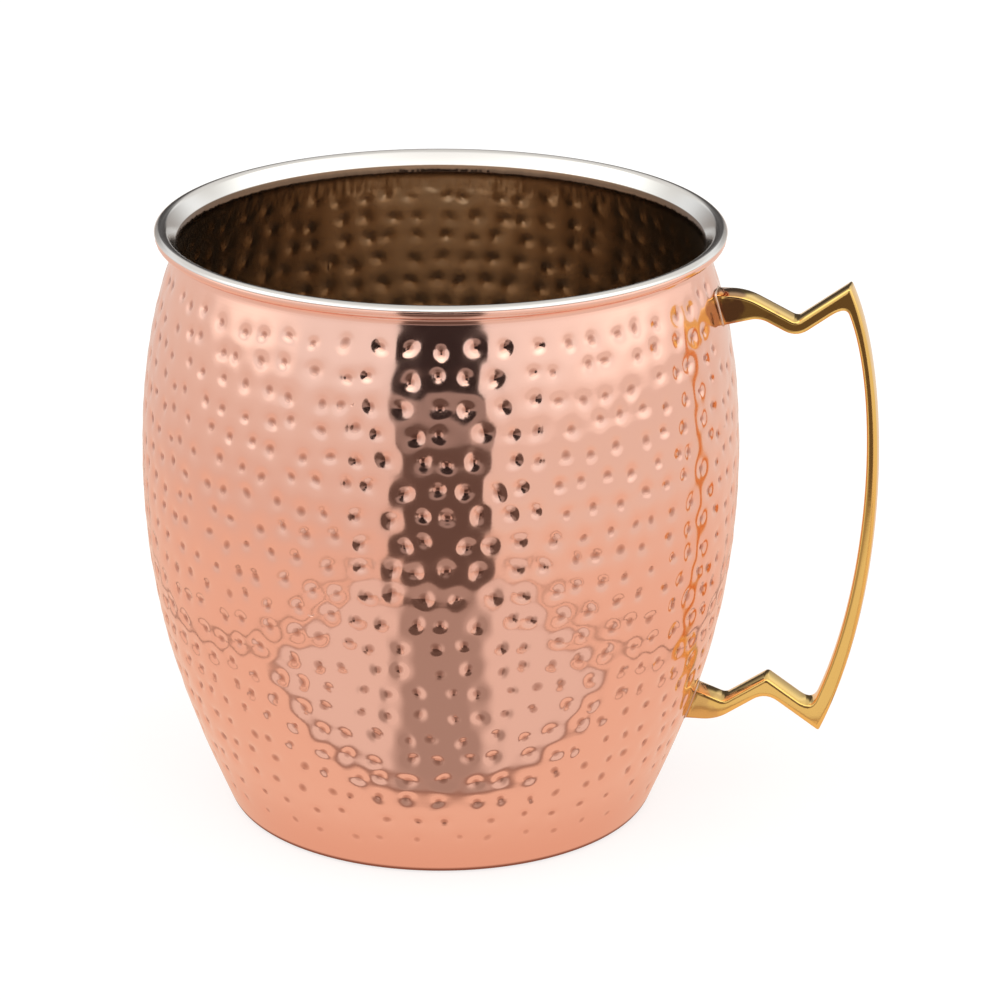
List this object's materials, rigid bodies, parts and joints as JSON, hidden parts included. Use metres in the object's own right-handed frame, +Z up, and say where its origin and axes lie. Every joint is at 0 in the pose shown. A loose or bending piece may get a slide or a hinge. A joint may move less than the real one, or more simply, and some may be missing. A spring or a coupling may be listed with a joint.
{
  "type": "hammered copper mug",
  "caption": "Jumbo barrel-shaped hammered copper mug with a rolled steel-lined lip and an angular cast brass strap handle soldered to the side.",
  "frame": {"origin": "centre of the flat underside, on the axis of the barrel", "axes": "+Z up along the barrel's axis, +X towards the handle"},
  "size_m": [0.2048, 0.166, 0.1675],
  "materials": {
    "copper": "mirror-polished hammered copper",
    "lining": "polished stainless lining",
    "brass": "polished cast brass",
    "solder": "dull silver solder"
  },
  "bodies": {
    "root": {"copper_shell": "copper", "steel_liner": "lining", "handle": "brass", "upper_solder": "solder", "lower_solder": "solder"}
  },
  "joints": []
}
